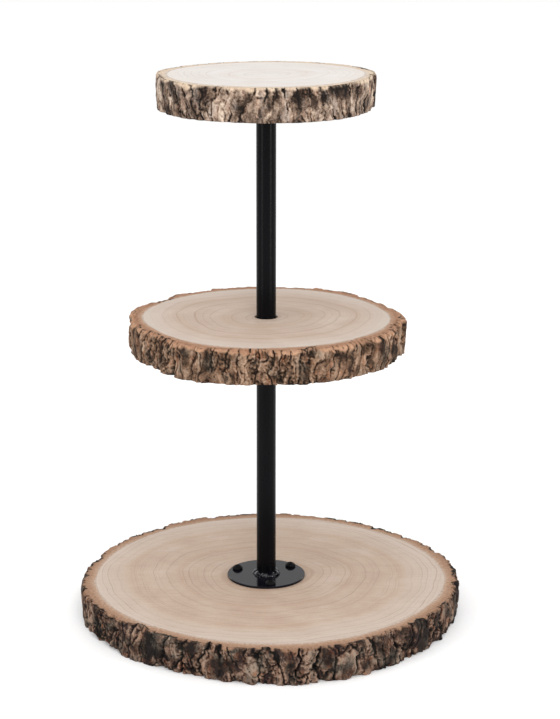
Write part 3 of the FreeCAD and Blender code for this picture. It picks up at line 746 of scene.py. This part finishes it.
# ----------------------------------------------------------------------------------------------------------
# The joint of the post: a turned plug pressed into each tube, an M8 stud of rolled thread that stays in the
# lower plug, and a split lock washer. All are zinc plated steel, and show only when the post is apart.
# ----------------------------------------------------------------------------------------------------------
STUD_PITCH = 1.25  # mm, of an M8 thread
STUD_DEPTH = 0.65  # mm from the thread's crest to its root
STUD_CHAMFER = 1.0  # mm off the radius at each end
STUD_COLUMNS = 64
STUD_ROWS = 10  # in each turn of the thread


def zinc_plate():
    """Bright zinc on turned steel: a cool grey metal with fine tool rings and a faint cloudy bloom."""
    material, shader = new_material("zinc_plated_steel")
    bloom = grains(material, 4.0, detail=4.0)
    rings = grains(material, 0.5, detail=2.0, stretch=(0.05, 0.05, 1))
    skin = ramp(material, bloom, (0.3, "#b9bcc0"), (0.7, "#d4d5d6"))
    material.node_tree.links.new(skin, shader.inputs["Base Color"])
    rough = add(material, "MapRange", {0: bloom, 1: 0.3, 2: 0.7, 3: 0.22, 4: 0.36}).outputs[0]
    bump = add(material, "Bump", {"Strength": 0.2, "Distance": 0.03 * MM, "Height": rings})
    material.node_tree.links.new(rough, shader.inputs["Roughness"])
    material.node_tree.links.new(bump.outputs["Normal"], shader.inputs["Normal"])
    shader.inputs["Metallic"].default_value = 1.0
    return material


zinc = zinc_plate()
for name in ("lower_post_plug", "upper_post_plug", "lock_washer"):
    nodes[name].data.materials.clear()
    nodes[name].data.materials.append(zinc)

low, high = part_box("joint_stud")
foot, head, crest = low.z / MM, high.z / MM, (high.x - low.x) / 2 / MM
turns = np.arange(STUD_COLUMNS) / STUD_COLUMNS * 2 * math.pi
row_count = round((high.z - low.z) / MM / STUD_PITCH * STUD_ROWS)
stud_z = np.linspace(head, foot, row_count)[:, None] + turns * 0
from_end = np.minimum(head - stud_z, stud_z - foot)
stud_radius = crest - STUD_DEPTH * (1 - thread_ridge(stud_z, turns, STUD_PITCH))
stud_radius = np.minimum(stud_radius, crest - STUD_CHAMFER + from_end)
stud_mesh = lathe_mesh("threaded_stud", stud_radius * np.cos(turns), stud_radius * np.sin(turns), stud_z)
stud = bpy.data.objects.new("threaded_stud", stud_mesh)
bpy.context.scene.collection.objects.link(stud)
stud.data.materials.append(zinc)
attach(stud, "base")
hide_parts("joint_stud")

# ----------------------------------------------------------------------------------------------------------
# The studio. A matt white paper floor under a white world and a wide soft ceiling light. In front stand a
# softbox and a small lamp for glints, at each side an upright strip light, and behind a fill on each side.
# ----------------------------------------------------------------------------------------------------------
FLOOR_GAP = 0.0003  # m that the floor lies under the slice, so that the two faces stay apart
AIM_HEIGHT = 0.25  # m above the floor, where the lamps point
bpy.ops.mesh.primitive_plane_add(size=60.0, location=(0.0, 0.0, -FLOOR_GAP))
floor = bpy.context.object
floor.name = "studio_floor"
floor_material, floor_shader = new_material("white_paper_sweep")
fibres = grains(floor_material, 3.0, detail=2.0)
floor_material.node_tree.links.new(
    ramp(floor_material, fibres, (0.3, "#f6f6f6"), (0.7, "#f9f9f9")), floor_shader.inputs["Base Color"]
)
floor_shader.inputs["Roughness"].default_value = 0.9
floor_shader.inputs["Specular IOR Level"].default_value = 0.1
floor.data.materials.append(floor_material)

world = bpy.data.worlds.new("white_studio")
bpy.context.scene.world = world
world.use_nodes = True
world.node_tree.nodes["Background"].inputs["Color"].default_value = linear("#ffffff")
world.node_tree.nodes["Background"].inputs["Strength"].default_value = 0.83

ceiling = bpy.data.lights.new("ceiling_light", "SUN")
ceiling.energy = 0.95
ceiling.angle = math.radians(80.0)
ceiling_light = bpy.data.objects.new("ceiling_light", ceiling)
ceiling_light.rotation_euler = (math.radians(32.0), math.radians(-14.0), 0.0)
bpy.context.scene.collection.objects.link(ceiling_light)


def softbox(name, azimuth, distance, height, size, power):
    """A rectangular area light that faces the post. `azimuth` is in degrees from the front, and the power
    in watts."""
    lamp = bpy.data.lights.new(name, "AREA")
    lamp.shape = "RECTANGLE"
    lamp.size, lamp.size_y = size
    lamp.energy = power
    light = bpy.data.objects.new(name, lamp)
    bpy.context.scene.collection.objects.link(light)
    turn = math.radians(azimuth)
    light.location = (distance * math.sin(turn), -distance * math.cos(turn), height)
    tip = math.atan2(height - AIM_HEIGHT, distance)
    light.rotation_euler = (math.pi / 2 - tip, 0.0, turn)


softbox("key_softbox", azimuth=14.0, distance=1.5, height=1.5, size=(0.45, 0.45), power=5.0)
softbox("glint_lamp", azimuth=6.0, distance=1.6, height=1.2, size=(0.15, 0.15), power=3.0)
softbox("back_left_fill", azimuth=-140.0, distance=1.2, height=0.6, size=(0.5, 0.5), power=1.6)
softbox("back_right_fill", azimuth=140.0, distance=1.2, height=0.6, size=(0.5, 0.5), power=1.6)
softbox("left_strip", azimuth=-48.0, distance=1.3, height=0.35, size=(0.12, 0.9), power=3.5)
softbox("right_strip", azimuth=55.0, distance=1.3, height=0.35, size=(0.12, 0.9), power=4.5)

# The camera stands 1.64 m in front of the post, a little above the top slice, and looks down 14.9 degrees.
camera = bpy.data.objects.new("camera", bpy.data.cameras.new("camera"))
bpy.context.scene.collection.objects.link(camera)
camera.location = (0.0, -1.641, 0.6527)
camera.rotation_euler = (math.radians(75.13), 0.0, 0.0)
camera.data.sensor_width = 36.0
camera.data.lens = 104.0
camera.data.shift_x = 0.0192
camera.data.clip_end = 50.0
bpy.context.scene.camera = camera
bpy.context.scene.view_settings.view_transform = "Standard"
